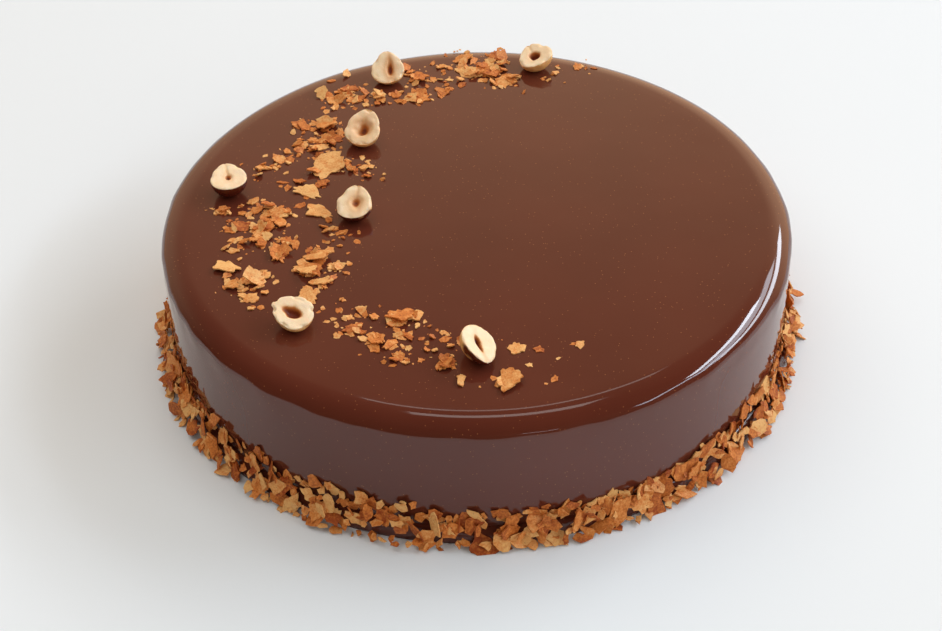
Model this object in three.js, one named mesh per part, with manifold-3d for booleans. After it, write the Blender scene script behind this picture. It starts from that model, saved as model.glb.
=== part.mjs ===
// Chocolate entremet under a mirror glaze. Wafer flakes lie in a crescent on its top, more wafer is
// pressed round its foot as a border, and seven halved hazelnuts rest among the flakes.
// Millimetres, +Z up, origin at the centre of the underside, -Y towards the viewer.
import * as THREE from "three";
import { mergeVertices } from "three/addons/utils/BufferGeometryUtils.js";
import Module from "manifold-3d";

const wasm = await Module();
wasm.setup();

// Cake body: a ring-moulded round with a softly rolled top edge
const CAKE_RADIUS = 110;
const CAKE_HEIGHT = 48;
const EDGE_RUN = 9;
const EDGE_DROP = 5;
const EDGE_STEPS = 4;
const ROUND_SEGMENTS = 80;

// Air left between touching pieces
const CLEARANCE = 0.3;

// Corners closer than this are one corner
const WELD = 1e-4;

// Wafer flakes: thin broken plates with a few corners
const FLAKE_CORNERS = 5;
const FLAKE_THICKNESS = 0.9;
const CORNER_SWING = 0.5;
const CORNER_DEPTH = 0.42;
const FLAKE_SLENDER = 0.5;
const FLAKE_STOUT = 0.95;

// Flakes on the top: how deep the low corner sinks, how far a flake tips up, the least worth fusing
const TOP_SUNK = 0.3;
const TOP_TILT_LEAST = 3;
const TOP_TILT_MOST = 17;
const TOP_FLAKE_LEAST = 3.2;
const SIZE_FALL = 0.72;
const SIZE_SWING = 0.25;
const NUT_ROOM = 0.6;
const TOP_SEED = 1;
const SEEDS_PER_GROUP = 40;

// Groups of top flakes, each [x, y, scatter, how many, longest flake]: a crescent from the back round the
// left to the front
const TOP_GROUPS = [
  [8, 91, 5, 6, 12], [-2, 90, 5, 5, 11], [12, 83, 3, 3, 9.5], [9, 101, 4, 4, 8.5],
  [-4, 100, 3, 3, 8], [19, 88, 2, 1, 6], [-12, 95, 3, 2, 5], [-15, 86, 4, 4, 5],
  [-25, 87, 3, 3, 9.5], [-20, 73, 2, 2, 12], [-11, 76, 3, 2, 5], [-35, 76, 2, 2, 10],
  [-29, 76, 5, 4, 6], [-47, 80, 5, 4, 8.5], [-53, 73, 5, 5, 8.5], [-44, 73, 3, 2, 7],
  [-55, 56, 2, 2, 10.5], [-63, 55, 4, 4, 6.5], [-52, 47, 4, 3, 7.5], [-64, 43, 3, 3, 9],
  [-57, 41, 4, 4, 8], [-71, 34, 4, 3, 6.5], [-52.5, 29, 1, 1, 16], [-57, 26, 2, 1, 8],
  [-46, 29, 3, 4, 6], [-40, 28, 4, 4, 5], [-77, 29, 5, 4, 6], [-60, 13.5, 1, 1, 13],
  [-63, 20, 2, 1, 7], [-55, 18, 2, 1, 6.5], [-62, 5.5, 2, 1, 6], [-55, 2, 1, 1, 11],
  [-69, 20, 2, 1, 4.5], [-89, 5, 2, 2, 7.5], [-70, 1, 3, 3, 12.5], [-77, 4, 5, 5, 7],
  [-82, -6, 5, 5, 7], [-73, -8, 4, 4, 11], [-76, -13, 5, 5, 8], [-65, -15, 2, 2, 8],
  [-83, -19, 2, 1, 5], [-68, -22, 2, 2, 11], [-46, -9, 4, 3, 5.5], [-50, -20, 4, 3, 4.5],
  [-84, -28.5, 1, 1, 13], [-74, -34.5, 2, 2, 13], [-82, -38, 3, 3, 8], [-75, -45, 4, 3, 6.5],
  [-55, -24, 3, 2, 11], [-58, -31, 3, 3, 12], [-48, -29, 3, 2, 7], [-52, -37, 3, 4, 8],
  [-56, -45, 1, 1, 10], [-46, -52, 4, 3, 4], [-38, -53, 3, 2, 6], [-41, -62, 4, 4, 7],
  [-33, -67, 3, 3, 9.5], [-25, -56, 3, 4, 11], [-23, -66, 4, 4, 6], [-26, -76, 4, 4, 6.5],
  [-11, -68, 4, 3, 5.5], [-11, -80, 2, 2, 9], [-6, -87, 1, 1, 7], [8, -74, 1, 1, 8],
  [8, -88, 1, 2, 12], [19, -74, 1, 1, 4], [32, -72, 1, 1, 5], [23, -88, 1, 1, 4],
  [31, 89, 3, 2, 4], [41, 92, 4, 2, 4],
];

// Border of wafer: a low banked core ring, and the flakes that lie on its slope like shingles
const BORDER_CORE_WIDTH = 4.2;
const BORDER_CORE_HEIGHT = 9;
const BORDER_CORE_STEPS = 3;
const BORDER_FLAKES = 122;
const BORDER_FLAKE_LEAST = 8.5;
const BORDER_FLAKE_MOST = 15;
const SMALL_BIAS = 1.6;
const BORDER_SEED = 5001;
const BORDER_LOW = 8;
const BORDER_HIGH = 80;
const BORDER_PROUD = 1;
const BORDER_LEAN_FOOT = 34;
const BORDER_LEAN_TOP = 14;
const BORDER_LEAN_SWING = 34;
const BORDER_YAW = 42;

// Halved hazelnuts lying cut face up. The face's centre is at x, y. Angles are in degrees from +X seen from
// above: "tip" is where the point is, and "lean" is the side that the face tips towards, by "tilt". The hollow
// in the face has a width, a length and a depth.
const KERNEL_SEGMENTS = 16;
const KERNEL_STEPS = 8;
const KERNEL_NARROWING = 0.17;
const KERNEL_POINT = 0.08;
const KERNEL_POINT_POWER = 5;
const HOLLOW_SEGMENTS = 10;
const HOLLOW_RINGS = 6;
const HAZELNUTS = [
  {
    x: -32.5, y: 85.2, length: 12.8, width: 12.8, depth: 6,
    tip: 94, lean: 267, tilt: 34,
    hollow: [2.8, 6.5, 2.5],
  },
  {
    x: 24.5, y: 92.8, length: 13.5, width: 13.4, depth: 6,
    tip: 105, lean: 204, tilt: 17,
    hollow: [4.5, 6, 3],
  },
  {
    x: -40.6, y: 44.1, length: 14.7, width: 13.1, depth: 6.5,
    tip: 71, lean: 261, tilt: 27,
    hollow: [7, 9, 4],
  },
  {
    x: -87.4, y: 14.9, length: 14, width: 13, depth: 7,
    tip: 104, lean: 270, tilt: 5,
    hollow: [3, 4.5, 1.8],
  },
  {
    x: -42.3, y: -1.6, length: 13.4, width: 13, depth: 6.5,
    tip: 81, lean: 250, tilt: 21,
    hollow: [4.5, 6.5, 2.4],
  },
  {
    x: -59.9, y: -59.2, length: 14, width: 12.8, depth: 6,
    tip: 156, lean: 290, tilt: 18,
    hollow: [5, 8.5, 3],
  },
  {
    x: 0.3, y: -76.6, length: 14.5, width: 12.1, depth: 6.5,
    tip: 293, lean: 346, tilt: 30,
    hollow: [1.8, 6.5, 2.6],
  },
];

const MATERIALS = {
  glaze: new THREE.MeshStandardMaterial({ color: 0x6b3a28, roughness: 0.08, metalness: 0 }),
  wafer: new THREE.MeshStandardMaterial({ color: 0xb9742f, roughness: 0.7, metalness: 0 }),
  hazelnut: new THREE.MeshStandardMaterial({ color: 0xe8c690, roughness: 0.6, metalness: 0 }),
};

// Seeded draws between 0 and 1, the same on every run
const DRAW_STEP = 0x6d2b79f5;
const DRAW_RANGE = 2 ** 32;

function seededDraws(seed) {
  let state = seed >>> 0;
  return () => {
    state = (state + DRAW_STEP) >>> 0;
    let mixed = Math.imul(state ^ (state >>> 15), state | 1);
    mixed ^= mixed + Math.imul(mixed ^ (mixed >>> 7), mixed | 61);
    return ((mixed ^ (mixed >>> 14)) >>> 0) / DRAW_RANGE;
  };
}

const between = (low, high, share) => low + (high - low) * share;
const radians = THREE.MathUtils.degToRad;

// Closed three.js geometry to a solid that can be joined and cut
function toSolid(geometry) {
  const bare = geometry.clone();
  bare.deleteAttribute("normal");
  bare.deleteAttribute("uv");
  const merged = mergeVertices(bare, WELD);
  const vertProperties = Float32Array.from(merged.attributes.position.array);
  const triVerts = Uint32Array.from(merged.index.array);
  return new wasm.Manifold(new wasm.Mesh({ numProp: 3, vertProperties, triVerts }));
}

// Only the outer skin of the largest body is kept, so sealed hollows are filled and loose scraps dropped
function largestBody(solid) {
  const bodies = solid.decompose();
  return bodies.reduce((best, body) => (body.volume() > best.volume() ? body : best));
}

function toMesh(name, solid, material) {
  const { vertProperties, triVerts } = solid.getMesh();
  const geometry = new THREE.BufferGeometry();
  geometry.setAttribute("position", new THREE.BufferAttribute(vertProperties, 3));
  geometry.setIndex(new THREE.BufferAttribute(triVerts, 1));
  geometry.computeVertexNormals();
  const mesh = new THREE.Mesh(geometry, material);
  mesh.name = name;
  return mesh;
}

// A turned form standing on z = 0: the lathe spins round Y, so it is tipped up onto Z
function turned(profile) {
  return new THREE.LatheGeometry(profile, ROUND_SEGMENTS).rotateX(Math.PI / 2);
}

// Cake profile from the axis along the base, up the wall, over the rolled edge and back to the axis
function cakeGeometry(grow) {
  const radius = CAKE_RADIUS + grow;
  const height = CAKE_HEIGHT + grow;
  const edge = [];
  for (let i = 0; i <= EDGE_STEPS; i += 1) {
    const angle = (Math.PI / 2) * (i / EDGE_STEPS);
    const x = radius - EDGE_RUN + EDGE_RUN * Math.cos(angle);
    const y = height - EDGE_DROP + EDGE_DROP * Math.sin(angle);
    edge.push(new THREE.Vector2(x, y));
  }
  const foot = [new THREE.Vector2(0, 0), new THREE.Vector2(radius, 0)];
  return turned([...foot, ...edge, new THREE.Vector2(0, height)]);
}

// One broken wafer plate in its own XY plane, centred on the origin
function flakeGeometry(length, draw) {
  const stretch = between(FLAKE_SLENDER, FLAKE_STOUT, draw());
  const corners = [];
  for (let i = 0; i < FLAKE_CORNERS; i += 1) {
    const angle = ((i + CORNER_SWING * (draw() - 0.5)) * 2 * Math.PI) / FLAKE_CORNERS;
    const reach = (length / 2) * (1 - CORNER_DEPTH * draw());
    corners.push(new THREE.Vector2(reach * Math.cos(angle), stretch * reach * Math.sin(angle)));
  }
  const plate = new THREE.ExtrudeGeometry(new THREE.Shape(corners), {
    depth: FLAKE_THICKNESS,
    bevelEnabled: false,
  });
  return plate.translate(0, 0, -FLAKE_THICKNESS / 2);
}

// A flake on the top is moved straight away from any hazelnut that it would touch
function clearOfNuts(place, reach) {
  for (const nut of HAZELNUTS) {
    const centre = new THREE.Vector2(nut.x, nut.y);
    const away = place.clone().sub(centre);
    const room = nut.length / 2 + reach + NUT_ROOM;
    if (away.length() < room) place.copy(centre).add(away.setLength(room));
  }
  return place;
}

function topFlakes() {
  const flakes = [];
  TOP_GROUPS.forEach(([x, y, scatter, count, longest], group) => {
    for (let k = 0; k < count; k += 1) {
      const draw = seededDraws(TOP_SEED + group * SEEDS_PER_GROUP + k);
      const fall = 1 - SIZE_FALL * Math.sqrt(k / count);
      const length = longest * fall * (k === 0 ? 1 : 1 - SIZE_SWING * draw());
      const spread = k === 0 ? 0 : scatter;
      const across = spread * 2 * (draw() + draw() - 1);
      const along = spread * 2 * (draw() + draw() - 1);
      const spin = 2 * Math.PI * draw();
      const tilt = radians(between(TOP_TILT_LEAST, TOP_TILT_MOST, draw()));
      const tiltTurn = 2 * Math.PI * draw();
      const flake = flakeGeometry(length, draw);
      if (length < TOP_FLAKE_LEAST) continue;
      const place = clearOfNuts(new THREE.Vector2(x + across, y + along), length / 2);
      const tiltAxis = new THREE.Vector3(Math.cos(tiltTurn), Math.sin(tiltTurn), 0);
      flake.rotateZ(spin);
      flake.applyMatrix4(new THREE.Matrix4().makeRotationAxis(tiltAxis, tilt));
      flake.computeBoundingBox();
      const lift = CAKE_HEIGHT - TOP_SUNK - flake.boundingBox.min.z;
      flakes.push(toSolid(flake.translate(place.x, place.y, lift)));
    }
  });
  return flakes;
}

function glazedCake() {
  const body = toSolid(cakeGeometry(0));
  const dressed = wasm.Manifold.union([body, ...topFlakes()]);
  return toMesh("glazed_cake", largestBody(dressed), MATERIALS.glaze);
}

// Point on the core's slope: a quarter ellipse from the foot, at angle 0, up to the wall
function onBorderSlope(angle, proud) {
  const x = CAKE_RADIUS + CLEARANCE + (BORDER_CORE_WIDTH + proud) * Math.cos(angle);
  return new THREE.Vector2(x, (BORDER_CORE_HEIGHT + proud) * Math.sin(angle));
}

// Each flake leans back against the slope, turned and spun at random, those at the foot lying flatter
function borderFlakes() {
  const flakes = [];
  for (let i = 0; i < BORDER_FLAKES; i += 1) {
    const draw = seededDraws(BORDER_SEED + i);
    const around = (2 * Math.PI * (i + draw())) / BORDER_FLAKES;
    const length = between(BORDER_FLAKE_LEAST, BORDER_FLAKE_MOST, draw() ** SMALL_BIAS);
    const height = draw();
    const swing = BORDER_LEAN_SWING * (draw() + draw() - 1);
    const lean = between(BORDER_LEAN_FOOT, BORDER_LEAN_TOP, height) + swing;
    const yaw = BORDER_YAW * (draw() + draw() - 1);
    const spin = 2 * Math.PI * draw();
    const upSlope = radians(between(BORDER_LOW, BORDER_HIGH, height));
    const centre = onBorderSlope(upSlope, BORDER_PROUD * draw());
    const flake = flakeGeometry(length, draw);
    flake.rotateZ(spin).rotateY(radians(90 - lean)).rotateZ(radians(yaw));
    flakes.push(toSolid(flake.translate(centre.x, 0, centre.y).rotateZ(around)));
  }
  return flakes;
}

function flakeBorder() {
  const foot = new THREE.Vector2(CAKE_RADIUS + CLEARANCE, 0);
  const slope = [];
  for (let i = 0; i <= BORDER_CORE_STEPS; i += 1) {
    slope.push(onBorderSlope((Math.PI / 2) * (i / BORDER_CORE_STEPS), 0));
  }
  const core = turned([foot, ...slope, foot.clone()]);
  const reach = 2 * CAKE_RADIUS + 4 * BORDER_FLAKE_MOST;
  const below = new THREE.BoxGeometry(reach, reach, BORDER_FLAKE_MOST);
  below.translate(0, 0, -BORDER_FLAKE_MOST / 2);
  const heap = wasm.Manifold.union([toSolid(core), ...borderFlakes()]);
  const trimmed = heap.subtract(toSolid(below)).subtract(toSolid(cakeGeometry(CLEARANCE)));
  return toMesh("flake_border", largestBody(trimmed), MATERIALS.wafer);
}

// Whole kernel turned round its length: blunt at -Y, drawn out to a small point at +Y
function kernelGeometry(length, width) {
  const profile = [];
  for (let i = 0; i <= KERNEL_STEPS; i += 1) {
    const angle = Math.PI * (i / KERNEL_STEPS);
    const towardsTip = -Math.cos(angle);
    const waist = 1 - KERNEL_NARROWING * towardsTip;
    const point = KERNEL_POINT * Math.max(0, towardsTip) ** KERNEL_POINT_POWER;
    const onAxis = i === 0 || i === KERNEL_STEPS;
    const x = onAxis ? 0 : (width / 2) * waist * Math.sin(angle);
    profile.push(new THREE.Vector2(x, (length / 2) * (towardsTip + point)));
  }
  return new THREE.LatheGeometry(profile, KERNEL_SEGMENTS);
}

function hazelnut(nut, index) {
  const { x, y, length, width, depth, tip, lean, tilt, hollow } = nut;
  const kernel = kernelGeometry(length, width).scale(1, 1, depth / (width / 2));
  const half = new THREE.BoxGeometry(2 * length, 2 * length, length).translate(0, 0, -length / 2);
  const pit = new THREE.SphereGeometry(1, HOLLOW_SEGMENTS, HOLLOW_RINGS);
  pit.scale(hollow[0] / 2, hollow[1] / 2, hollow[2]);
  const solid = toSolid(kernel).intersect(toSolid(half)).subtract(toSolid(pit));
  const mesh = toMesh(`hazelnut_${index + 1}`, largestBody(solid), MATERIALS.hazelnut);
  const leanTurn = radians(lean);
  const tiltAxis = new THREE.Vector3(-Math.sin(leanTurn), Math.cos(leanTurn), 0);
  mesh.geometry.rotateZ(radians(tip - 90));
  mesh.geometry.applyMatrix4(new THREE.Matrix4().makeRotationAxis(tiltAxis, radians(tilt)));
  mesh.geometry.computeBoundingBox();
  mesh.position.set(x, y, CAKE_HEIGHT + CLEARANCE - mesh.geometry.boundingBox.min.z);
  return mesh;
}

const entremet = new THREE.Group();
entremet.add(glazedCake());
entremet.add(flakeBorder());
HAZELNUTS.forEach((nut, index) => entremet.add(hazelnut(nut, index)));

export default entremet;
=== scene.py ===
# %% [markdown]
# # A chocolate entremet under a mirror glaze
# The cake is a mousse round set in a ring and flooded with warm chocolate glaze, which sets to a mirror.
# Broken wafer is scattered on the top in a crescent and pressed round the foot as a border, and seven
# halved hazelnuts lie among the flakes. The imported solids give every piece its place. This script dresses
# them: it keeps their named sizes, and adds the thin, ragged and glossy things that a solid can't show.

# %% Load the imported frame
from math import cos, pi, radians, sin, sqrt

import bmesh
import bpy
from mathutils import Matrix, Vector, noise


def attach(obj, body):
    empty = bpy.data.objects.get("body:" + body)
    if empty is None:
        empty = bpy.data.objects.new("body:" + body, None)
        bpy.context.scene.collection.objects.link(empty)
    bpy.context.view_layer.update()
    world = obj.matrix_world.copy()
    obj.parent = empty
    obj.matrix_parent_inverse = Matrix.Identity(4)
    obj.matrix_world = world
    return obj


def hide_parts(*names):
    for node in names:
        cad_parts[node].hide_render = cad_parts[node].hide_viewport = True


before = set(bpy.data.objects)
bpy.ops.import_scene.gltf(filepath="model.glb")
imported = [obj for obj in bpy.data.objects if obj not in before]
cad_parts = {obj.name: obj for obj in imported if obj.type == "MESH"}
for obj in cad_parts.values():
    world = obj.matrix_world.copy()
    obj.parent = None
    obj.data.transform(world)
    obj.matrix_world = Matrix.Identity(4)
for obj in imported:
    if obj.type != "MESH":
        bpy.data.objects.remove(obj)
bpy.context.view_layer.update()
MM = 0.001
WELD_DISTANCE = 0.001 * MM
print("nodes:", sorted(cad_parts))

# %% [markdown]
# ## The camera
# The view was worked out from the cake itself: a circle of known size seen as an ellipse gives the height
# of the eye and the length of the lens. The camera looks along +Y, dips by about 40 degrees and is rolled
# a little, as a hand-held one is.

# %% Camera
CAMERA_PLACE = Vector((-2.496, -493.03, 417.93)) * MM
CAMERA_DIP = radians(40.257)
CAMERA_ROLL = radians(-1.295)
CAMERA_LENS = 67.134
CAMERA_SENSOR = 36.0

camera_data = bpy.data.cameras.new("camera")
camera_data.sensor_fit = "HORIZONTAL"
camera_data.sensor_width = CAMERA_SENSOR
camera_data.lens = CAMERA_LENS
camera_data.clip_start = 0.01
camera = bpy.data.objects.new("camera", camera_data)
bpy.context.scene.collection.objects.link(camera)
camera_turn = Matrix.Rotation(pi / 2 - CAMERA_DIP, 4, "X") @ Matrix.Rotation(CAMERA_ROLL, 4, "Z")
camera.matrix_world = Matrix.Translation(CAMERA_PLACE) @ camera_turn
bpy.context.scene.camera = camera
bpy.context.scene.view_settings.view_transform = "Standard"
print("camera at", [round(c, 3) for c in camera.location])

# %% [markdown]
# ## Colours and nodes
# Colours are written as sRGB hex values, as a painter would pick them, and one function turns them into
# the linear light that Blender's shaders work in. A second small function adds a node, sets it and links
# it, so that a material reads from top to bottom.

# %% Colour and node helpers
def linear(hex_colour):
    channels = []
    for start in (0, 2, 4):
        value = int(hex_colour[start:start + 2], 16) / 255
        channels.append(value / 12.92 if value <= 0.04045 else ((value + 0.055) / 1.055) ** 2.4)
    return (*channels, 1.0)


def add_node(tree, kind, inputs=None, **settings):
    node = tree.nodes.new(kind)
    for name, value in settings.items():
        setattr(node, name, value)
    for socket, value in (inputs or {}).items():
        if isinstance(value, bpy.types.NodeSocket):
            tree.links.new(value, node.inputs[socket])
        else:
            node.inputs[socket].default_value = value
    return node


def new_material(name):
    material = bpy.data.materials.new(name)
    material.use_nodes = True
    material.node_tree.nodes.clear()
    return material, material.node_tree


# Socket numbers of a Mix node that mixes colours
MIX_SHARE, MIX_A, MIX_B, MIX_RESULT = 0, 6, 7, 2

# %% [markdown]
# ## Floor and light
# The floor is a plain pale table. The key light is a long window at the right and a little behind: two cool
# panes, which throw a soft shadow to the left and draw the white streak along the glaze's right shoulder,
# and a third that is seen in the glaze but lights nothing. A window further to the front lengthens the
# streak. Two thin strips draw the pale lines along the front shoulder and a small one the glint below them.
# Wide panels above, in front and at the right fill the shadow, and these are hidden from reflections. A
# mirror glaze shows what stands round it, so the surround matters as much as the lamps: it is warm and pale
# at the back, where the top's reflection looks, dimmer to the left and high up, and dark behind the camera,
# which draws the dark band on the edge.

# %% Floor
floor_material, tree = new_material("table_paint")
floor_shader = add_node(tree, "ShaderNodeBsdfPrincipled", {
    "Base Color": linear("e9edef"), "Roughness": 0.85, "Specular IOR Level": 0.2,
})
add_node(tree, "ShaderNodeOutputMaterial", {"Surface": floor_shader.outputs[0]})

FLOOR_HALF_SIDE = 3.0
FLOOR_DROP = 0.1 * MM
floor_bm = bmesh.new()
bmesh.ops.create_grid(floor_bm, x_segments=1, y_segments=1, size=FLOOR_HALF_SIDE)
bmesh.ops.translate(floor_bm, vec=(0, 0, -FLOOR_DROP), verts=floor_bm.verts[:])
floor_mesh = bpy.data.meshes.new("floor")
floor_bm.to_mesh(floor_mesh)
floor_bm.free()
floor_mesh.materials.append(floor_material)
floor = bpy.data.objects.new("floor", floor_mesh)
bpy.context.scene.collection.objects.link(floor)

# %% Light
def soft_panel(name, place, target, width, height, watts, colour):
    data = bpy.data.lights.new(name, "AREA")
    data.shape = "RECTANGLE"
    data.size = width
    data.size_y = height
    data.energy = watts
    data.color = linear(colour)[:3]
    panel = bpy.data.objects.new(name, data)
    bpy.context.scene.collection.objects.link(panel)
    aim = (Vector(target) - Vector(place)).to_track_quat("-Z", "Y")
    panel.matrix_world = Matrix.LocRotScale(Vector(place), aim, None)
    return panel


soft_panel("window_lower_pane", (2.2, 1.1, 1.5), (0, 0, 0.03), 2.6, 0.36, 36, "e6f2ff")
soft_panel("window_upper_pane", (2.1, 1.05, 2.02), (0, 0, 0.03), 2.6, 0.32, 16, "e6f2ff")
soft_panel("side_window", (2.4, -0.5, 1.75), (0, 0, 0.03), 2.2, 0.22, 15, "dcecff")
soft_panel("strip_high", (0.06, 0.46, 1.2), (0, 0, 0.04), 0.42, 0.15, 0.55, "f4f2ee")
soft_panel("strip_low", (0.06, 0.85, 1.05), (0, 0, 0.04), 0.42, 0.06, 0.17, "f4f2ee")
shine = soft_panel("window_shine", (2.05, 0.8, 2.28), (0, 0, 0.03), 2.2, 0.2, 26, "e6f2ff")
shine.visible_diffuse = False
soft_panel("glint", (0.45, -1.3, 0.61), (0, 0, 0.03), 0.32, 0.05, 0.3, "eef4ff")
for name, place, side, watts, colour in [
    ("fill_above", (-0.7, 0.4, 2.2), 3.0, 35, "fffefb"),
    ("fill_front", (-0.5, -1.9, 1.3), 1.6, 8, "fffaf2"),
    ("fill_right", (1.7, -1.2, 1.0), 1.6, 13, "fffaf2"),
]:
    fill = soft_panel(name, place, (0, 0, 0.02), side, side, watts, colour)
    fill.visible_glossy = False

SURROUND_BACK = 2.0
SURROUND_FRONT = 0.08
WALL_TOP = 0.12
WALL_LEFT = 0.55
world = bpy.data.worlds.new("studio")
bpy.context.scene.world = world
world.use_nodes = True
tree = world.node_tree
tree.nodes.clear()
outlook = add_node(tree, "ShaderNodeTexCoord")
axes = add_node(tree, "ShaderNodeSeparateXYZ", {0: outlook.outputs["Generated"]})
behind = add_node(tree, "ShaderNodeMapRange", {
    "Value": axes.outputs["Y"], "From Min": 0.1, "From Max": 0.85,
    "To Min": SURROUND_FRONT, "To Max": SURROUND_BACK,
}, interpolation_type="SMOOTHSTEP")
rise = add_node(tree, "ShaderNodeMapRange", {
    "Value": axes.outputs["Z"], "From Min": 0.4, "From Max": 0.76, "To Min": 1.0, "To Max": WALL_TOP,
}, interpolation_type="SMOOTHSTEP")
left = add_node(tree, "ShaderNodeMapRange", {
    "Value": axes.outputs["X"], "From Min": -0.4, "From Max": 0.1, "To Min": WALL_LEFT, "To Max": 1.0,
}, interpolation_type="SMOOTHSTEP")
depth = add_node(tree, "ShaderNodeMath", {0: behind.outputs[0], 1: rise.outputs[0]}, operation="MULTIPLY")
depth = add_node(tree, "ShaderNodeMath", {0: depth.outputs[0], 1: left.outputs[0]}, operation="MULTIPLY")
surround = add_node(tree, "ShaderNodeBackground", {
    "Color": linear("f2cda6"), "Strength": depth.outputs[0],
})
add_node(tree, "ShaderNodeOutputWorld", {"Surface": surround.outputs[0]})

# %% [markdown]
# ## Making a piece
# Every piece is shaped in a bmesh with its place already in its points, then becomes an object at the
# origin that rides on the cake's one body.

# %% Piece helper
def make_piece(bm, name, material, replaces=()):
    mesh = bpy.data.meshes.new(name)
    bm.to_mesh(mesh)
    bm.free()
    mesh.materials.append(material)
    piece = bpy.data.objects.new(name, mesh)
    bpy.context.scene.collection.objects.link(piece)
    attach(piece, "root")
    if replaces:
        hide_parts(*replaces)
    print(name, len(mesh.polygons), "faces")
    return piece


# %% [markdown]
# ## The mirror glaze
# Chocolate mirror glaze is cocoa, sugar and gelatine poured at 35 degrees over a frozen cake. It sets with
# a water-smooth skin: the eye sees a deep red-brown, one clear reflection on top of it, and a few tan
# specks of cocoa and air. An IOR of 1.5 and a low roughness give the reflection, a faint ripple lets it
# waver, and a sparse pattern of points in three dimensions gives the specks, on the top and the wall alike.

# %% Glaze material
SPECK_SPACING = 2.0 * MM
SPECK_RADIUS = 0.22 * MM
CLOUD_SIZE = 38 * MM
RIPPLE_SIZE = 9 * MM
RIPPLE_DEEP = 0.02 * MM

glaze, tree = new_material("chocolate_mirror_glaze")
place = add_node(tree, "ShaderNodeTexCoord").outputs["Object"]
clouds = add_node(tree, "ShaderNodeTexNoise", {"Vector": place, "Scale": 1 / CLOUD_SIZE, "Detail": 1.0})
brown = add_node(tree, "ShaderNodeMix", {
    MIX_SHARE: clouds.outputs["Fac"], MIX_A: linear("55271b"), MIX_B: linear("612d1f"),
}, data_type="RGBA")
points = add_node(tree, "ShaderNodeTexVoronoi", {"Vector": place, "Scale": 1 / SPECK_SPACING})
speck = add_node(tree, "ShaderNodeMapRange", {
    "Value": points.outputs["Distance"],
    "From Min": SPECK_RADIUS / SPECK_SPACING, "From Max": 0.5 * SPECK_RADIUS / SPECK_SPACING,
    "To Min": 0.0, "To Max": 0.75,
})
speckled = add_node(tree, "ShaderNodeMix", {
    MIX_SHARE: speck.outputs["Result"], MIX_A: brown.outputs[MIX_RESULT], MIX_B: linear("a5683f"),
}, data_type="RGBA")
ripples = add_node(tree, "ShaderNodeTexNoise", {"Vector": place, "Scale": 1 / RIPPLE_SIZE, "Detail": 0.0})
skin = add_node(tree, "ShaderNodeBump", {
    "Height": ripples.outputs["Fac"], "Strength": 1.0, "Distance": RIPPLE_DEEP,
})
shader = add_node(tree, "ShaderNodeBsdfPrincipled", {
    "Base Color": speckled.outputs[MIX_RESULT], "Roughness": 0.05, "IOR": 1.5,
    "Normal": skin.outputs["Normal"],
})
add_node(tree, "ShaderNodeOutputMaterial", {"Surface": shader.outputs[0]})

# %% [markdown]
# ## The glazed body
# The ring gives a true round with upright walls, and the glaze rolls over the top edge in a soft shoulder
# that runs wider than it drops. A profile is drawn once and spun. Poured glaze is never quite true, so
# the points are then moved out and in: by slow waves that begin near the edge of the top and are strongest
# on the wall, and by short ones where the coat laps over the shoulder. They bend the reflected lines.

# %% Glazed body
CAKE_RADIUS = 110 * MM
CAKE_HEIGHT = 48 * MM
EDGE_RUN = 9 * MM
EDGE_DROP = 5 * MM
EDGE_STEPS = 18
WALL_STEPS = 12
TOP_STEPS = 26
BODY_SEGMENTS = 240

profile = [Vector((0, 0, 0)), Vector((0.5 * CAKE_RADIUS, 0, 0))]
for i in range(WALL_STEPS):
    profile.append(Vector((CAKE_RADIUS, 0, (CAKE_HEIGHT - EDGE_DROP) * i / WALL_STEPS)))
for i in range(EDGE_STEPS + 1):
    angle = pi / 2 * i / EDGE_STEPS
    out = CAKE_RADIUS - EDGE_RUN + EDGE_RUN * cos(angle)
    profile.append(Vector((out, 0, CAKE_HEIGHT - EDGE_DROP + EDGE_DROP * sin(angle))))
for i in range(1, TOP_STEPS + 1):
    profile.append(Vector(((CAKE_RADIUS - EDGE_RUN) * (1 - i / TOP_STEPS), 0, CAKE_HEIGHT)))

body = bmesh.new()
line = [body.verts.new(point) for point in profile]
for start, end in zip(line, line[1:]):
    body.edges.new((start, end))
bmesh.ops.spin(
    body, geom=body.verts[:] + body.edges[:], cent=(0, 0, 0), axis=(0, 0, 1),
    angle=2 * pi, steps=BODY_SEGMENTS, use_merge=True,
)
bmesh.ops.remove_doubles(body, verts=body.verts[:], dist=WELD_DISTANCE)
bmesh.ops.recalc_face_normals(body, faces=body.faces[:])

# %% Waves in the poured coat
EDGE_WAVE = 0.3 * MM
WAVE_START = 0.72
WAVE_ROUND = 38 * MM
WAVE_UP = 70 * MM
LAP_WAVE = 0.7 * MM
LAP_ROUND = 8 * MM
LAP_LOW = 6 * MM
LAP_SPREAD = 4 * MM

body.normal_update()
for vert in body.verts:
    if vert.co.z <= 0:
        continue
    out = sqrt(vert.co.x ** 2 + vert.co.y ** 2)
    nearness = max(0, min(1, (out / CAKE_RADIUS - WAVE_START) / (1 - WAVE_START)))
    height = EDGE_WAVE * nearness ** 2
    spot = Vector((vert.co.x / WAVE_ROUND, vert.co.y / WAVE_ROUND, vert.co.z / WAVE_UP))
    lap = LAP_WAVE * max(0, 1 - abs(vert.co.z - CAKE_HEIGHT + LAP_LOW) / LAP_SPREAD)
    move = height * noise.noise(spot) + lap * noise.noise(vert.co / LAP_ROUND)
    vert.co += vert.normal * move
for face in body.faces:
    face.smooth = True
for edge in body.edges:
    edge.smooth = max(vert.co.z for vert in edge.verts) > 0
make_piece(body, "glazed_body", glaze, ["glazed_cake"])
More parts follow.
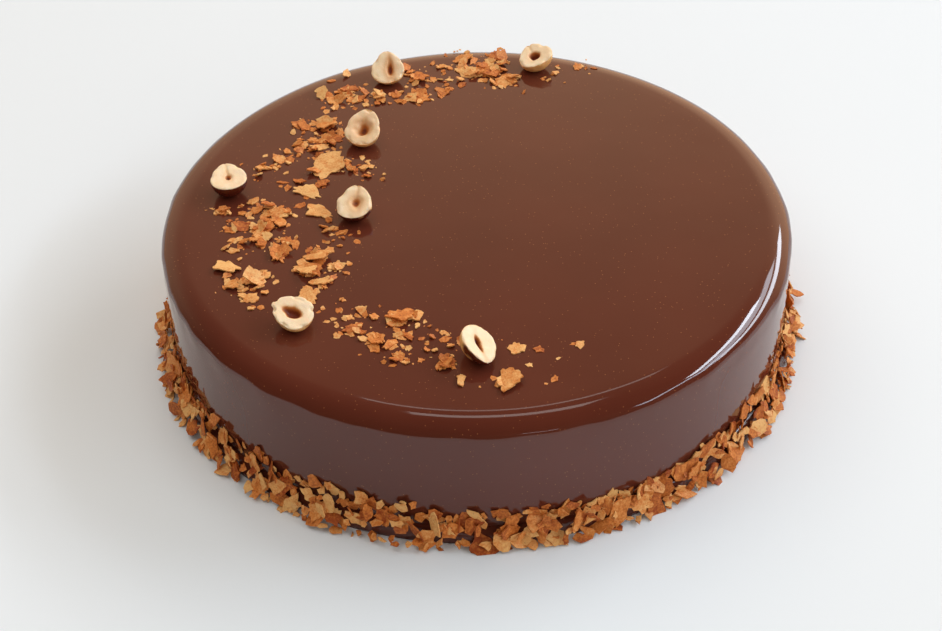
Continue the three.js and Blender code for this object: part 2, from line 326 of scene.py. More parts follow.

# %% [markdown]
# ## Broken wafer
# The flakes are crushed lace wafer: a thin batter baked crisp, golden where it is thin and dark at its
# toasted spots, full of pinholes, matt. Each flake has its own bake, kept in an attribute of its points,
# and the mottling and pinholes come from patterns a millimetre across. The pinholes are dented, and they
# are also painted darker, which is painted shade in them.

# %% Wafer material
MOTTLE_SIZE = 2.6 * MM
GRAIN_SIZE = 0.7 * MM
PORE_SPACING = 1.15 * MM
PORE_RADIUS = 0.2 * MM

wafer, tree = new_material("baked_lace_wafer")
place = add_node(tree, "ShaderNodeTexCoord").outputs["Object"]
bake = add_node(tree, "ShaderNodeAttribute", attribute_name="bake")
mottle = add_node(tree, "ShaderNodeTexNoise", {"Vector": place, "Scale": 1 / MOTTLE_SIZE, "Detail": 3.0})
mottled = add_node(tree, "ShaderNodeMath", {
    0: mottle.outputs["Fac"], 1: 0.9, 2: -0.95,
}, operation="MULTIPLY_ADD")
grain = add_node(tree, "ShaderNodeTexNoise", {"Vector": place, "Scale": 1 / GRAIN_SIZE, "Detail": 2.0})
grained = add_node(tree, "ShaderNodeMath", {
    0: grain.outputs["Fac"], 1: 1.0, 2: mottled.outputs[0],
}, operation="MULTIPLY_ADD")
tone = add_node(tree, "ShaderNodeMath", {0: bake.outputs["Fac"], 1: grained.outputs[0]}, operation="ADD")
crust = add_node(tree, "ShaderNodeValToRGB", {0: tone.outputs[0]})
ramp = crust.color_ramp.elements
ramp[0].position, ramp[0].color = 0.0, linear("eab36e")
ramp[1].position, ramp[1].color = 1.0, linear("963f10")
middle = crust.color_ramp.elements.new(0.5)
middle.color = linear("d57e36")
pores = add_node(tree, "ShaderNodeTexVoronoi", {"Vector": place, "Scale": 1 / PORE_SPACING})
pore_dent_and_shade = add_node(tree, "ShaderNodeMapRange", {
    "Value": pores.outputs["Distance"],
    "From Min": PORE_RADIUS / PORE_SPACING, "From Max": 0.5 * PORE_RADIUS / PORE_SPACING,
    "To Min": 0.0, "To Max": 0.6,
})
# Painted shade: the crust is mixed towards a darker brown in the dented pinholes.
pitted = add_node(tree, "ShaderNodeMix", {
    MIX_SHARE: pore_dent_and_shade.outputs["Result"], MIX_A: crust.outputs[0], MIX_B: linear("85420f"),
}, data_type="RGBA")
relief = add_node(tree, "ShaderNodeMath", {
    0: grain.outputs["Fac"], 1: pore_dent_and_shade.outputs["Result"],
}, operation="SUBTRACT")
crisp = add_node(tree, "ShaderNodeBump", {
    "Height": relief.outputs[0], "Strength": 0.7, "Distance": 0.12 * MM,
})
shader = add_node(tree, "ShaderNodeBsdfPrincipled", {
    "Base Color": pitted.outputs[MIX_RESULT], "Roughness": 0.62, "Specular IOR Level": 0.35,
    "Normal": crisp.outputs["Normal"],
})
add_node(tree, "ShaderNodeOutputMaterial", {"Surface": shader.outputs[0]})

# %% [markdown]
# A flake is five corners round a middle, drawn from a seeded stream of numbers, so the same flake comes
# out on every run and lies where the solid has it. The plate is cut finer, its broken edge is roughened,
# it is curled a little as thin wafer is, and then it gets its thickness.

# %% Seeded draws
DRAW_STEP = 0x6D2B79F5
DRAW_RANGE = 2 ** 32


def seeded_draws(seed):
    state = seed

    def draw():
        nonlocal state
        state = (state + DRAW_STEP) % DRAW_RANGE
        mixed = (state ^ state >> 15) * (state | 1) % DRAW_RANGE
        mixed ^= (mixed + (mixed ^ mixed >> 7) * (mixed | 61)) % DRAW_RANGE
        return (mixed ^ mixed >> 14) / DRAW_RANGE

    return draw


def between(low, high, share):
    return low + (high - low) * share


def either_way(draw):
    return draw() + draw() - 1


# %% One flake
FLAKE_CORNERS = 5
CORNER_SWING = 0.5
CORNER_DEPTH = 0.42
FLAKE_SLENDER = 0.5
FLAKE_STOUT = 0.95
FLAKE_THICKNESS = 0.4 * MM
EDGE_TORN = 0.3
EDGE_PROUD = 0.08
CURL_MOST = 0.1
BUCKLE = 0.025
BUCKLES = 4
NOISE_SPAN = 50


def wafer_flake(length, draw, cuts=3, thickness=FLAKE_THICKNESS):
    flake = bmesh.new()
    stretch = between(FLAKE_SLENDER, FLAKE_STOUT, draw())
    corners = []
    for i in range(FLAKE_CORNERS):
        angle = (i + CORNER_SWING * (draw() - 0.5)) * 2 * pi / FLAKE_CORNERS
        reach = length / 2 * (1 - CORNER_DEPTH * draw())
        corners.append(flake.verts.new((reach * cos(angle), stretch * reach * sin(angle), 0)))
    plate = flake.faces.new(corners)
    if cuts:
        bmesh.ops.poke(flake, faces=[plate])
        bmesh.ops.subdivide_edges(flake, edges=flake.edges[:], cuts=cuts, use_grid_fill=True)
        for vert in flake.verts:
            if vert.is_boundary and vert not in corners:
                vert.co *= between(1 + EDGE_PROUD, 1 - EDGE_TORN, draw() ** 2)
        curl = CURL_MOST * either_way(draw) * 4 / length
        turn = 2 * pi * draw()
        shift = Vector((draw(), draw(), draw())) * NOISE_SPAN
        for vert in flake.verts:
            along = vert.co.x * cos(turn) + vert.co.y * sin(turn)
            buckle = noise.noise(vert.co * BUCKLES / length + shift)
            vert.co.z += curl * along ** 2 + BUCKLE * length * buckle
    bmesh.ops.solidify(flake, geom=flake.faces[:], thickness=thickness)
    bmesh.ops.recalc_face_normals(flake, faces=flake.faces[:])
    return flake


# %% [markdown]
# Flakes are made one at a time and poured into a heap: one mesh, with the bake of every flake kept on its
# points.

# %% Heap of flakes
SHARP_ANGLE = radians(38)


class Heap:
    def __init__(self):
        self.bm = bmesh.new()
        self.scratch = bpy.data.meshes.new("scratch")
        self.bakes = []

    def add(self, flake, bake):
        self.bakes.extend([bake] * len(flake.verts))
        flake.to_mesh(self.scratch)
        flake.free()
        self.bm.from_mesh(self.scratch)

    def finish(self, name, replaces=()):
        for face in self.bm.faces:
            face.smooth = True
        piece = make_piece(self.bm, name, wafer, replaces)
        bakes = piece.data.attributes.new("bake", "FLOAT", "POINT")
        bakes.data.foreach_set("value", self.bakes)
        piece.data.set_sharp_from_angle(angle=SHARP_ANGLE)
        bpy.data.meshes.remove(self.scratch)


# %% [markdown]
# ## The hazelnuts' places
# Each half lies cut face up. "tip" is where its point is and "lean" the side that the face tips towards, by
# "tilt", all in degrees, with directions as seen from above. "hollow" is the pit's width, length and depth,
# "hollow_at" its place on the face and "crisp" how far out it stays dark. "roast" is how far the face is
# browned round it, and "groove" how deep the line from it to the tip is. "skin_side" is where the skin
# stayed on, the more the higher "skin" is, and "chips" is how much is bitten out of the rim. The flakes on
# the top keep clear of the halves, so these come first.

# %% Hazelnut halves
HAZELNUTS = [
    dict(x=-32.5, y=85.2, length=12.8, width=12.8, depth=6, tip=94, lean=267, tilt=34,
         hollow=(3.2, 6.5, 1.7), hollow_at=(1.0, -0.4), crisp=0.1, roast=0.95, groove=0.3,
         skin_side=180, skin=-0.7, chips=0.6),
    dict(x=24.5, y=92.8, length=13.5, width=13.4, depth=6, tip=105, lean=204, tilt=17,
         hollow=(4.8, 6, 3), hollow_at=(-0.5, 0), crisp=0.45, roast=0.4, groove=0.6,
         skin_side=0, skin=-1.0, chips=0.5),
    dict(x=-40.6, y=44.1, length=14.7, width=13.1, depth=6.5, tip=71, lean=261, tilt=27,
         hollow=(7, 9, 3.6), hollow_at=(0, 0), crisp=0.0, roast=0.7, groove=0.2,
         skin_side=90, skin=-0.9, chips=0.7),
    dict(x=-87.4, y=14.9, length=14, width=13, depth=7, tip=104, lean=270, tilt=5,
         hollow=(3, 4.5, 1.6), hollow_at=(0, 0.2), crisp=0.2, roast=0.5, groove=0.8,
         skin_side=270, skin=1.5, chips=0.4),
    dict(x=-42.3, y=-1.6, length=13.4, width=13, depth=6.5, tip=81, lean=250, tilt=21,
         hollow=(4.2, 6.5, 1.8), hollow_at=(0.6, 0), crisp=0.15, roast=0.7, groove=0.6,
         skin_side=235, skin=0.5, chips=0.5),
    dict(x=-59.9, y=-59.2, length=14, width=12.8, depth=6, tip=156, lean=290, tilt=18,
         hollow=(5, 8.5, 2.4), hollow_at=(0, 0.5), crisp=0.5, roast=0.2, groove=0.2,
         skin_side=140, skin=0.0, chips=1.3),
    dict(x=0.3, y=-76.6, length=14.5, width=12.1, depth=6.5, tip=293, lean=346, tilt=30,
         hollow=(2.0, 6.5, 2.6), hollow_at=(0.3, 0), crisp=0.55, roast=0.5, groove=0.4,
         skin_side=293, skin=0.2, chips=0.4),
]
print(len(HAZELNUTS), "hazelnut halves")

# %% [markdown]
# ## Flakes on the top
# Groups of flakes make a crescent from the back, round the left, to the front. A group has its longest
# flake in the middle and smaller ones strewn round it, each tipped a few degrees with its low corner in the
# glaze. The longest flakes of all are the palest.

# %% Groups of top flakes: x, y, scatter, how many, longest
TOP_GROUPS = [
    [8, 91, 5, 6, 12], [-2, 90, 5, 5, 11], [12, 83, 3, 3, 9.5], [9, 101, 4, 4, 8.5],
    [-4, 100, 3, 3, 8], [19, 88, 2, 1, 6], [-12, 95, 3, 2, 5], [-15, 86, 4, 4, 5],
    [-25, 87, 3, 3, 9.5], [-20, 73, 2, 2, 12], [-11, 76, 3, 2, 5], [-35, 76, 2, 2, 10],
    [-29, 76, 5, 4, 6], [-47, 80, 5, 4, 8.5], [-53, 73, 5, 5, 8.5], [-44, 73, 3, 2, 7],
    [-55, 56, 2, 2, 10.5], [-63, 55, 4, 4, 6.5], [-52, 47, 4, 3, 7.5], [-64, 43, 3, 3, 9],
    [-57, 41, 4, 4, 8], [-71, 34, 4, 3, 6.5], [-52.5, 29, 1, 1, 16], [-57, 26, 2, 1, 8],
    [-46, 29, 3, 4, 6], [-40, 28, 4, 4, 5], [-77, 29, 5, 4, 6], [-60, 13.5, 1, 1, 13],
    [-63, 20, 2, 1, 7], [-55, 18, 2, 1, 6.5], [-62, 5.5, 2, 1, 6], [-55, 2, 1, 1, 11],
    [-69, 20, 2, 1, 4.5], [-89, 5, 2, 2, 7.5], [-70, 1, 3, 3, 12.5], [-77, 4, 5, 5, 7],
    [-82, -6, 5, 5, 7], [-73, -8, 4, 4, 11], [-76, -13, 5, 5, 8], [-65, -15, 2, 2, 8],
    [-83, -19, 2, 1, 5], [-68, -22, 2, 2, 11], [-46, -9, 4, 3, 5.5], [-50, -20, 4, 3, 4.5],
    [-84, -28.5, 1, 1, 13], [-74, -34.5, 2, 2, 13], [-82, -38, 3, 3, 8], [-75, -45, 4, 3, 6.5],
    [-55, -24, 3, 2, 11], [-58, -31, 3, 3, 12], [-48, -29, 3, 2, 7], [-52, -37, 3, 4, 8],
    [-56, -45, 1, 1, 10], [-46, -52, 4, 3, 4], [-38, -53, 3, 2, 6], [-41, -62, 4, 4, 7],
    [-33, -67, 3, 3, 9.5], [-25, -56, 3, 4, 11], [-23, -66, 4, 4, 6], [-26, -76, 4, 4, 6.5],
    [-11, -68, 4, 3, 5.5], [-11, -80, 2, 2, 9], [-6, -87, 1, 1, 7], [8, -74, 1, 1, 8],
    [8, -88, 1, 2, 12], [19, -74, 1, 1, 4], [32, -72, 1, 1, 5], [23, -88, 1, 1, 4],
    [31, 89, 3, 2, 4], [41, 92, 4, 2, 4],
]

# %% Lay the flakes on the top
TOP_SUNK = 0.3 * MM
TOP_GROWTH = 1.22
TOP_BAKES = (0.1, 0.78)
LARGE_FLAKE = 6
LARGE_CUTS = 4
SMALL_CUTS = 2
LARGEST = 12
LARGE_BAKE = 0.3
TOP_TILT_LEAST = 3
TOP_TILT_MOST = 17
SIZE_FALL = 0.72
SIZE_SWING = 0.25
NUT_ROOM = 0.6
TOP_SEED = 1
SEEDS_PER_GROUP = 40
CRUMB_SEED = 9001


def clear_of_nuts(place, reach):
    for nut in HAZELNUTS:
        centre = Vector((nut["x"], nut["y"]))
        away = place - centre
        room = nut["length"] / 2 + reach + NUT_ROOM
        if away.length < room:
            place = centre + away.normalized() * room
    return place


def lay_on_top(flake, place, spin, tilt, tilt_turn):
    tilt_axis = Vector((cos(tilt_turn), sin(tilt_turn), 0))
    turn = Matrix.Rotation(tilt, 4, tilt_axis) @ Matrix.Rotation(spin, 4, "Z")
    bmesh.ops.transform(flake, matrix=turn, verts=flake.verts[:])
    lift = CAKE_HEIGHT - TOP_SUNK - min(vert.co.z for vert in flake.verts)
    bmesh.ops.translate(flake, vec=(place.x * MM, place.y * MM, lift), verts=flake.verts[:])


top_heap = Heap()
for group, (x, y, scatter, count, longest) in enumerate(TOP_GROUPS):
    for k in range(count):
        draw = seeded_draws(TOP_SEED + group * SEEDS_PER_GROUP + k)
        fall = 1 - SIZE_FALL * sqrt(k / count)
        length = longest * fall * (1 if k == 0 else 1 - SIZE_SWING * draw())
        spread = 0 if k == 0 else scatter
        across = spread * 2 * either_way(draw)
        along = spread * 2 * either_way(draw)
        spin = 2 * pi * draw()
        tilt = radians(between(TOP_TILT_LEAST, TOP_TILT_MOST, draw()))
        tilt_turn = 2 * pi * draw()
        place = clear_of_nuts(Vector((x + across, y + along)), length / 2)
        cuts = LARGE_CUTS if length > LARGE_FLAKE else SMALL_CUTS
        flake = wafer_flake(TOP_GROWTH * length * MM, draw, cuts)
        pale = LARGE_BAKE if k == 0 and longest > LARGEST else 1
        bake = pale * between(*TOP_BAKES, draw())
        lay_on_top(flake, place, spin, tilt, tilt_turn)
        top_heap.add(flake, bake)

# %% [markdown]
# A handful of broken wafer is never only large pieces. Shorter shards lie across the flakes of their group,
# more steeply tipped, and crumbs fill in round them.

# %% Shards and crumbs among the flakes
SHARDS_PER_FLAKE = 1.3
SHARD_LEAST = 0.45
SHARD_MOST = 0.9
SHARD_SCATTER = 2.2
SHARD_TILTS = (4, 34)
SHARD_BAKES = (0.0, 0.75)
SHARD_SEED = 12001
CRUMBS_PER_FLAKE = 2.6
CRUMB_LEAST = 1.0
CRUMB_MOST = 4.2
CRUMB_BIAS = 1.8
CRUMB_SCATTER = 4.5
CRUMB_TILT = 30
CRUMB_THICKNESS = 0.3 * MM
CRUMB_BAKES = (0.05, 0.7)

for group, (x, y, scatter, count, longest) in enumerate(TOP_GROUPS):
    shards = round(SHARDS_PER_FLAKE * count) if count > 1 else 0
    for k in range(shards):
        draw = seeded_draws(SHARD_SEED + group * SEEDS_PER_GROUP + k)
        length = longest * between(SHARD_LEAST, SHARD_MOST, draw())
        offset = Vector((either_way(draw), either_way(draw))) * SHARD_SCATTER * scatter
        place = clear_of_nuts(Vector((x, y)) + offset, length / 2)
        spin = 2 * pi * draw()
        tilt = radians(between(*SHARD_TILTS, draw()))
        flake = wafer_flake(length * MM, draw, SMALL_CUTS)
        lay_on_top(flake, place, spin, tilt, 2 * pi * draw())
        top_heap.add(flake, between(*SHARD_BAKES, draw()))
    crumbs = round(CRUMBS_PER_FLAKE * count) if count > 1 else 1
    for k in range(crumbs):
        draw = seeded_draws(CRUMB_SEED + group * SEEDS_PER_GROUP + k)
        length = between(CRUMB_LEAST, CRUMB_MOST, draw() ** CRUMB_BIAS)
        offset = Vector((either_way(draw), either_way(draw))) * 2 * CRUMB_SCATTER
        place = clear_of_nuts(Vector((x, y)) + offset, length / 2)
        spin = 2 * pi * draw()
        tilt = radians(CRUMB_TILT * draw() ** 2)
        flake = wafer_flake(length * MM, draw, cuts=1, thickness=CRUMB_THICKNESS)
        lay_on_top(flake, place, spin, tilt, 2 * pi * draw())
        top_heap.add(flake, between(*CRUMB_BAKES, draw()))
top_heap.finish("top_flakes", ["glazed_cake"])

# %% [markdown]
# ## The border
# Round the foot the wafer is pressed by the handful against the wet glaze. A bead of glaze that ran down
# and pooled holds the flakes: the large ones lie on it like shingles, where the solid has them, and many
# smaller ones are pushed in between at every angle. A noise that runs round the cake swells them into
# handfuls. The bead is seen only as the dark between flakes.

# %% Glaze bead at the foot
BEAD_WIDTH = 2.4 * MM
BEAD_HEIGHT = 6 * MM
BEAD_STEPS = 8
BEAD_SEGMENTS = 220
BEAD_LUMP = 1.4 * MM
BEAD_LUMP_SIZE = 6 * MM

bead = bmesh.new()
outline = [Vector((CAKE_RADIUS - BEAD_WIDTH, 0, 0))]
for i in range(BEAD_STEPS + 1):
    angle = pi / 2 * i / BEAD_STEPS
    outline.append(Vector((CAKE_RADIUS + BEAD_WIDTH * cos(angle), 0, BEAD_HEIGHT * sin(angle))))
outline.append(Vector((CAKE_RADIUS - BEAD_WIDTH, 0, BEAD_HEIGHT)))
line = [bead.verts.new(point) for point in outline]
for start, end in zip(line, line[1:] + line[:1]):
    bead.edges.new((start, end))
bmesh.ops.spin(
    bead, geom=bead.verts[:] + bead.edges[:], cent=(0, 0, 0), axis=(0, 0, 1),
    angle=2 * pi, steps=BEAD_SEGMENTS, use_merge=True,
)
bmesh.ops.recalc_face_normals(bead, faces=bead.faces[:])
bead.normal_update()
for vert in bead.verts:
    if vert.co.z > 0 and vert.co.xy.length > CAKE_RADIUS - 0.1 * MM:
        vert.co += vert.normal * BEAD_LUMP * noise.noise(vert.co / BEAD_LUMP_SIZE)
for face in bead.faces:
    face.smooth = True
make_piece(bead, "glaze_bead", glaze, ["flake_border"])

# %% Lay the flakes on the border
BORDER_CORE_WIDTH = 4.2 * MM
BORDER_CORE_HEIGHT = 9 * MM
BORDER_CLEARANCE = 0.3 * MM
BORDER_FLAKES = 122
BORDER_FLAKE_LEAST = 8.5
BORDER_FLAKE_MOST = 15
SMALL_BIAS = 1.6
BORDER_SEED = 5001
BORDER_LOW = 8
BORDER_HIGH = 80
BORDER_PROUD = 1 * MM
BORDER_LEAN_FOOT = 34
BORDER_LEAN_TOP = 14
BORDER_LEAN_SWING = 34
BORDER_YAW = 42
BORDER_BAKES = (0.0, 0.9)
BORDER_CUTS = 3
CLUMPS = 7
CLUMP_SWELL = 1.9


def on_border_slope(angle, proud):
    out = CAKE_RADIUS + BORDER_CLEARANCE + (BORDER_CORE_WIDTH + proud) * cos(angle)
    return Vector((out, 0, (BORDER_CORE_HEIGHT + proud) * sin(angle)))


def clump(around):
    swell = noise.noise(Vector((cos(around), sin(around), 0)) * CLUMPS)
    return max(0, 1 + CLUMP_SWELL * swell)


def keep_above_floor(flake):
    if min(vert.co.z for vert in flake.verts) < 0:
        everything = flake.verts[:] + flake.edges[:] + flake.faces[:]
        bmesh.ops.bisect_plane(
            flake, geom=everything, plane_co=(0, 0, 0), plane_no=(0, 0, 1), clear_inner=True,
        )
        bmesh.ops.holes_fill(flake, edges=[edge for edge in flake.edges if edge.is_boundary])
    return flake


def border_flake(seed, slot, slots, least, most, slope, leans, proud, swing_most, yaw_most, cuts):
    draw = seeded_draws(seed)
    around = 2 * pi * (slot + draw()) / slots
    length = between(least, most, draw() ** SMALL_BIAS)
    height = draw()
    swing = swing_most * either_way(draw)
    lean = between(*leans, height) + swing
    yaw = yaw_most * either_way(draw)
    spin = 2 * pi * draw()
    proud *= draw() * clump(around)
    centre = on_border_slope(radians(between(*slope, height)), proud)
    flake = wafer_flake(length * MM, draw, cuts)
    stand = Matrix.Rotation(radians(yaw), 4, "Z") @ Matrix.Rotation(radians(90 - lean), 4, "Y")
    turn = Matrix.Rotation(around, 4, "Z") @ Matrix.Translation(centre) @ stand
    bmesh.ops.transform(flake, matrix=turn @ Matrix.Rotation(spin, 4, "Z"), verts=flake.verts[:])
    return keep_above_floor(flake), between(*BORDER_BAKES, draw())


border_heap = Heap()
for i in range(BORDER_FLAKES):
    border_heap.add(*border_flake(
        BORDER_SEED + i, i, BORDER_FLAKES, BORDER_FLAKE_LEAST, BORDER_FLAKE_MOST, (BORDER_LOW, BORDER_HIGH),
        (BORDER_LEAN_FOOT, BORDER_LEAN_TOP), BORDER_PROUD, BORDER_LEAN_SWING, BORDER_YAW,
        BORDER_CUTS,
    ))

# %% [markdown]
# The smaller flakes come in three bands: some stick to the wall in a crest, some lie nearly flat at the
# foot, and most are jammed in between.

# %% Smaller flakes in the gaps
FILL_SEED = 7001
FILL_LEAST = 3.5
FILL_MOST = 10.5
FILL_CUTS = 1
SEEDS_PER_BAND = 1000
FILL_BANDS = [
    dict(count=300, slope=(79, 89), leans=(14, 3), proud=3.6 * MM, swing=28, yaw=30),
    dict(count=430, slope=(12, 78), leans=(38, 16), proud=1.8 * MM, swing=70, yaw=60),
    dict(count=200, slope=(0, 20), leans=(70, 50), proud=1.8 * MM, swing=40, yaw=85),
]

for number, band in enumerate(FILL_BANDS):
    for i in range(band["count"]):
        border_heap.add(*border_flake(
            FILL_SEED + SEEDS_PER_BAND * number + i, i, band["count"], FILL_LEAST, FILL_MOST, band["slope"],
            band["leans"], band["proud"], band["swing"], band["yaw"], FILL_CUTS,
        ))
border_heap.finish("border_flakes", ["flake_border"])

# %% [markdown]
# ## The hazelnut halves
# A roasted kernel is split along its seam. The cut face is cream, with a hollow in the middle where the
# two halves never met, browned by roasting. The outside is golden where the skin rubbed off, and dark
# red-brown where it stayed. Points carry how much hollow, cut face and skin they show, and the material
# mixes its colours by these.

# %% Hazelnut material
FLESH_CLOUD = 3.2 * MM
FLESH_GRAIN = 0.5 * MM
FLESH_ROUGHNESS = 0.55
SKIN_SMOOTHER = 0.28

kernel, tree = new_material("roasted_hazelnut")
place = add_node(tree, "ShaderNodeTexCoord").outputs["Object"]
cloud = add_node(tree, "ShaderNodeTexNoise", {"Vector": place, "Scale": 1 / FLESH_CLOUD, "Detail": 3.0})
cut_face = add_node(tree, "ShaderNodeMix", {
    MIX_SHARE: cloud.outputs["Fac"], MIX_A: linear("fce5c5"), MIX_B: linear("f3cc99"),
}, data_type="RGBA")
outside = add_node(tree, "ShaderNodeMix", {
    MIX_SHARE: cloud.outputs["Fac"], MIX_A: linear("fbc983"), MIX_B: linear("e19c52"),
}, data_type="RGBA")
cut = add_node(tree, "ShaderNodeAttribute", attribute_name="cut")
flesh = add_node(tree, "ShaderNodeMix", {
    MIX_SHARE: cut.outputs["Fac"], MIX_A: outside.outputs[MIX_RESULT], MIX_B: cut_face.outputs[MIX_RESULT],
}, data_type="RGBA")
pit = add_node(tree, "ShaderNodeAttribute", attribute_name="pit")
roasted = add_node(tree, "ShaderNodeValToRGB", {0: pit.outputs["Fac"]})
ramp = roasted.color_ramp.elements
ramp[0].position, ramp[0].color = 0.0, linear("f2be80")
ramp[1].position, ramp[1].color = 1.0, linear("742c10")
middle = roasted.color_ramp.elements.new(0.55)
middle.color = linear("bb6c2e")
pit_share = add_node(tree, "ShaderNodeMapRange", {"Value": pit.outputs["Fac"], "From Max": 0.35})
pitted = add_node(tree, "ShaderNodeMix", {
    MIX_SHARE: pit_share.outputs[0], MIX_A: flesh.outputs[MIX_RESULT], MIX_B: roasted.outputs[0],
}, data_type="RGBA")
husk = add_node(tree, "ShaderNodeAttribute", attribute_name="skin")
coloured = add_node(tree, "ShaderNodeMix", {
    MIX_SHARE: husk.outputs["Fac"], MIX_A: pitted.outputs[MIX_RESULT], MIX_B: linear("571f10"),
}, data_type="RGBA")
gloss = add_node(tree, "ShaderNodeMath", {
    0: husk.outputs["Fac"], 1: -SKIN_SMOOTHER, 2: FLESH_ROUGHNESS,
}, operation="MULTIPLY_ADD")
grain = add_node(tree, "ShaderNodeTexNoise", {"Vector": place, "Scale": 1 / FLESH_GRAIN, "Detail": 2.0})
cutmarks = add_node(tree, "ShaderNodeBump", {
    "Height": grain.outputs["Fac"], "Strength": 0.6, "Distance": 0.12 * MM,
})
shader = add_node(tree, "ShaderNodeBsdfPrincipled", {
    "Base Color": coloured.outputs[MIX_RESULT], "Roughness": gloss.outputs[0],
    "Subsurface Weight": 0.18, "Subsurface Radius": (1.0, 0.5, 0.25), "Subsurface Scale": 1.0 * MM,
    "Normal": cutmarks.outputs["Normal"],
})
add_node(tree, "ShaderNodeOutputMaterial", {"Surface": shader.outputs[0]})

# %% [markdown]
# A half is a profile spun through half a turn, so its open rim is the cut. The rim is then drawn inwards
# ring by ring to the middle of the hollow. Carving then moves these rings: inside the hollow they are
# pressed down into a bowl, a shallow groove runs from it to the tip, and a lumpy pattern takes small bites
# out of the rim, as a knife does.

# %% One half
KERNEL_STEPS = 28
KERNEL_SEGMENTS = 24
KERNEL_NARROWING = 0.17
KERNEL_POINT = 0.08
KERNEL_POINT_POWER = 5
FACE_RINGS = [0.96, 0.9, 0.82, 0.74, 0.66, 0.58, 0.5, 0.43, 0.36, 0.29, 0.22, 0.15, 0.08]


def hazelnut_half(nut):
    length, width, deep = nut["length"] * MM, nut["width"] * MM, nut["depth"] * MM
    middle = Vector((*nut["hollow_at"], 0)) * MM
    half = bmesh.new()
    line = []
    for i in range(KERNEL_STEPS + 1):
        angle = pi * i / KERNEL_STEPS
        to_tip = -cos(angle)
        out = width / 2 * (1 - KERNEL_NARROWING * to_tip) * sin(angle)
        point = KERNEL_POINT * max(0, to_tip) ** KERNEL_POINT_POWER
        line.append(half.verts.new((out, length / 2 * (to_tip + point), 0)))
    for start, end in zip(line, line[1:]):
        half.edges.new((start, end))
    bmesh.ops.spin(
        half, geom=half.verts[:] + half.edges[:], cent=(0, 0, 0), axis=(0, 1, 0),
        angle=pi, steps=KERNEL_SEGMENTS,
    )
    bmesh.ops.remove_doubles(half, verts=half.verts[:], dist=WELD_DISTANCE)
    bmesh.ops.scale(half, vec=(1, 1, 2 * deep / width), verts=half.verts[:])
    shares = {vert: 2.0 for vert in half.verts}
    rim = [edge for edge in half.edges if edge.is_boundary]
    shares.update((vert, 1.0) for edge in rim for vert in edge.verts)
    reached = 1
    for share in FACE_RINGS:
        drawn = bmesh.ops.extrude_edge_only(half, edges=rim)["geom"]
        ring = [item for item in drawn if isinstance(item, bmesh.types.BMVert)]
        rim = [item for item in drawn if isinstance(item, bmesh.types.BMEdge)]
        shrink = share / reached
        bmesh.ops.scale(
            half, vec=(shrink, shrink, 1), space=Matrix.Translation(-middle), verts=ring,
        )
        shares.update((vert, share) for vert in ring)
        reached = share
    bmesh.ops.holes_fill(half, edges=rim)
    bmesh.ops.recalc_face_normals(half, faces=half.faces[:])
    return half, shares


# %% Hollow, groove and chips of a half
CHIP_SIZE = 2.8 * MM
NICK_SIZE = 1.1 * MM
CHIP_DEEP = 1.0 * MM
CHIP_REACH = 2.4 * MM
CHIP_IN = 0.14
CHIP_FULL = 0.6
CHIP_CUT = 0.5
NICK_SHARE = 0.35
RIM_FROM = 0.7
EDGE_EASE = 0.3 * MM
EASE_FROM = 0.92
FACE_DISH = 0.5 * MM
FACE_LUMP = 0.12 * MM
FACE_NICK = 0.05 * MM
HOLLOW_POINT = 0.55
HOLLOW_RAGGED = 0.4
HOLLOW_SHARE = 0.9
HOLLOW_SLOPE = (0.1, 1.1)
GROOVE_RUN = (0.3, 0.7)
GROOVE_WIDTH = 0.45 * MM
GROOVE_DEEP = 0.35 * MM
GROOVE_BROWN = 0.15
PIT_FADE = 0.6
HALO = 0.3
HALO_FROM = 0.8
HALO_LEAST = 1.3
HALO_GROWTH = 1.6
NUT_APART = 7.3


def smooth_step(low, high, value):
    share = max(0, min(1, (value - low) / (high - low)))
    return share * share * (3 - 2 * share)


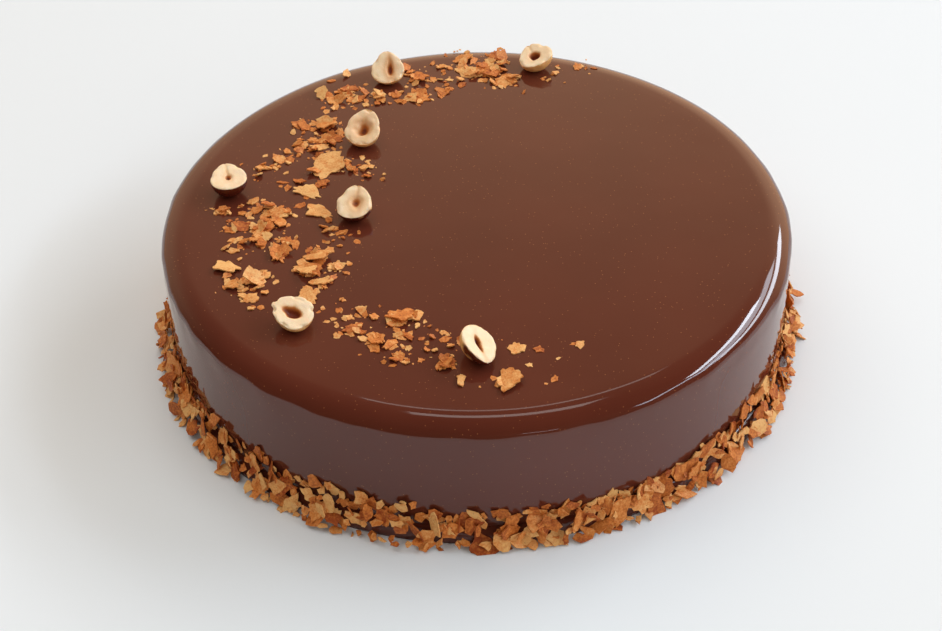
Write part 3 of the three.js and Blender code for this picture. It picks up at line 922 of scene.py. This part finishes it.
def carve(half, shares, nut, number):
    hollow_width, hollow_length, hollow_deep = (size * MM for size in nut["hollow"])
    middle = Vector((*nut["hollow_at"], 0)) * MM
    apart = Vector((0, 0, NUT_APART * number))
    marks = {}
    for vert, share in shares.items():
        lump = noise.noise(vert.co / CHIP_SIZE + apart)
        nick = noise.noise(vert.co / NICK_SIZE + apart)
        bite = nut["chips"] * smooth_step(0.0, CHIP_FULL, lump + NICK_SHARE * nick)
        if share > 1:
            near_rim = smooth_step(-CHIP_REACH, 0, vert.co.z)
        else:
            near_rim = smooth_step(RIM_FROM, 1.0, share)
        out = vert.co - middle
        vert.co.xy *= 1 - CHIP_IN * bite * near_rim
        if share > 1:
            marks[vert] = (CHIP_CUT * bite * near_rim, 0.0)
            continue
        towards_tip = out.y / hollow_length
        narrow = 1 - HOLLOW_POINT * max(0, towards_tip)
        inside = sqrt((2 * out.x / (hollow_width * narrow)) ** 2 + (2 * towards_tip) ** 2)
        inside += HOLLOW_RAGGED * lump
        groove = nut["groove"] * smooth_step(*GROOVE_RUN, towards_tip) / (1 + (out.x / GROOVE_WIDTH) ** 4)
        bowl = HOLLOW_SHARE * hollow_deep * (1 - smooth_step(*HOLLOW_SLOPE, inside))
        vert.co.z -= CHIP_DEEP * bite * near_rim + EDGE_EASE * smooth_step(EASE_FROM, 1.0, share)
        vert.co.z -= FACE_DISH * (1 - share) + FACE_LUMP * lump + FACE_NICK * nick
        vert.co.z -= bowl + GROOVE_DEEP * groove
        halo_end = HALO_LEAST + HALO_GROWTH * nut["roast"]
        halo = HALO * nut["roast"] * (1 - smooth_step(HALO_FROM, halo_end, inside)) + GROOVE_BROWN * groove
        pit = (1 - halo) * (1 - smooth_step(nut["crisp"], PIT_FADE + nut["crisp"], inside))
        marks[vert] = (1.0 if share < 1 else CHIP_CUT, halo + pit)
    return marks


# %% Skin of a half, once it lies in its place
SKIN_SIZE = 3.5 * MM
SKIN_SPREAD = 0.6
SKIN_PATCHY = 0.9
SKIN_SOFT = 0.12


def skin_left(vert, share, nut):
    if share < 1:
        return 0.0
    away = Vector((vert.co.x - nut["x"] * MM, vert.co.y - nut["y"] * MM))
    side = radians(nut["skin_side"])
    facing = away.normalized().dot(Vector((cos(side), sin(side)))) if away.length > 0 else 0
    patch = noise.noise(vert.co / SKIN_SIZE)
    cover = facing - SKIN_SPREAD + SKIN_PATCHY * patch + nut["skin"]
    return smooth_step(-SKIN_SOFT, SKIN_SOFT, cover)


# %% Lay the halves on the cake
NUT_SUNK = 0.25 * MM

for number, nut in enumerate(HAZELNUTS, 1):
    half, shares = hazelnut_half(nut)
    marks = carve(half, shares, nut, number)
    lean = radians(nut["lean"])
    tilt_axis = Vector((-sin(lean), cos(lean), 0))
    spin = Matrix.Rotation(radians(nut["tip"] - 90), 4, "Z")
    turn = Matrix.Rotation(radians(nut["tilt"]), 4, tilt_axis) @ spin
    bmesh.ops.transform(half, matrix=turn, verts=half.verts[:])
    lift = CAKE_HEIGHT - NUT_SUNK - min(vert.co.z for vert in half.verts)
    bmesh.ops.translate(half, vec=(nut["x"] * MM, nut["y"] * MM, lift), verts=half.verts[:])
    columns = {
        "cut": [marks[vert][0] for vert in half.verts],
        "pit": [marks[vert][1] for vert in half.verts],
        "skin": [skin_left(vert, shares[vert], nut) for vert in half.verts],
    }
    for face in half.faces:
        face.smooth = True
    piece = make_piece(half, f"hazelnut_half_{number}", kernel, [f"hazelnut_{number}"])
    for name, values in columns.items():
        layer = piece.data.attributes.new(name, "FLOAT", "POINT")
        layer.data.foreach_set("value", values)
    rounding = piece.modifiers.new("rounding", "SUBSURF")
    rounding.levels = rounding.render_levels = 1
